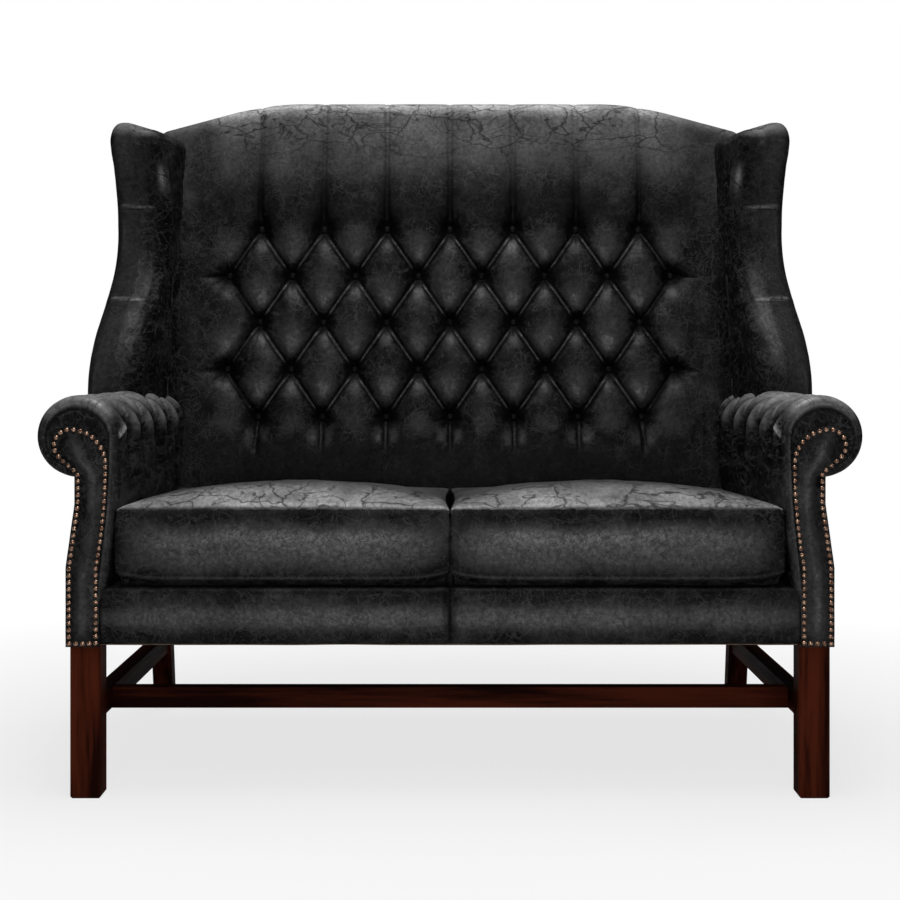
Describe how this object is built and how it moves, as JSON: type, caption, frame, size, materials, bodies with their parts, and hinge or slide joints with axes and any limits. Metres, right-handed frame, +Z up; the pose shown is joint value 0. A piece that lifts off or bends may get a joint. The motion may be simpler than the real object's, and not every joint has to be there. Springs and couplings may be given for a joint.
{
  "type": "chesterfield wing sofa",
  "caption": "High-backed wing sofa in distressed black leather, with a buttoned diamond back, scrolled arms with nailed facings, loose seat cushions and a square-legged mahogany base.",
  "frame": {"origin": "on the floor under the middle of the overall box", "axes": "+X to the viewer's right along the seat, +Y towards the back, +Z up"},
  "size_m": [1.3014, 0.8277, 1.2005],
  "materials": {
    "black_leather": "distressed antique satin, with fine crackle",
    "mahogany": "dark red-brown polish",
    "beech": "sawn, unfinished",
    "antique_nails": "antiqued bronze",
    "steel": "drawn wire",
    "foam": "open-cell filling",
    "black_cloth": "woven platform cloth",
    "webbing": "woven straps"
  },
  "bodies": {
    "frame": {"arm_buttons_left": "black_leather", "arm_buttons_right": "black_leather", "arm_cover_left": "black_leather", "arm_cover_right": "black_leather", "arm_facing_left": "black_leather", "arm_facing_right": "black_leather", "arm_foam_left": "foam", "arm_foam_right": "foam", "arm_rail_left": "beech", "arm_rail_right": "beech", "arm_stuffing_rail_left": "beech", "arm_stuffing_rail_right": "beech", "arm_stump_left": "beech", "arm_stump_right": "beech", "back_bottom_rail": "beech", "back_buttons": "black_leather", "back_cover": "black_leather", "back_foam": "foam", "back_middle_rail": "beech", "back_post_left": "beech", "back_post_right": "beech", "back_slats": "beech", "back_top_rail": "beech", "back_webbing": "webbing", "corner_blocks": "beech", "corner_screws": "steel", "cross_stretcher": "mahogany", "dust_cover": "black_cloth", "facing_nails_left": "antique_nails", "facing_nails_right": "antique_nails", "front_border_left": "black_leather", "front_border_right": "black_leather", "front_leg_left": "mahogany", "front_leg_right": "mahogany", "front_seat_rail": "beech", "outside_arm_left": "black_leather", "outside_arm_right": "black_leather", "outside_back": "black_leather", "rear_leg_left": "mahogany", "rear_leg_right": "mahogany", "rear_seat_rail": "beech", "seat_deck": "black_cloth", "seat_springs": "steel", "side_seat_rail_left": "beech", "side_seat_rail_right": "beech", "side_stretcher_left": "mahogany", "side_stretcher_right": "mahogany", "spring_clips": "steel", "wing_board_left": "beech", "wing_board_right": "beech", "wing_cover_left": "black_leather", "wing_cover_right": "black_leather", "wing_foam_left": "foam", "wing_foam_right": "foam"},
    "left_cushion": {"cushion_cover_left": "black_leather", "cushion_core_left": "foam"},
    "right_cushion": {"cushion_cover_right": "black_leather", "cushion_core_right": "foam"}
  },
  "joints": [
    {"name": "left_cushion_lift", "type": "slide", "parent": "frame", "child": "left_cushion", "axis": [0, 0, 1], "range_m": [0, 0.4]},
    {"name": "right_cushion_lift", "type": "slide", "parent": "frame", "child": "right_cushion", "axis": [0, 0, 1], "range_m": [0, 0.4]}
  ]
}
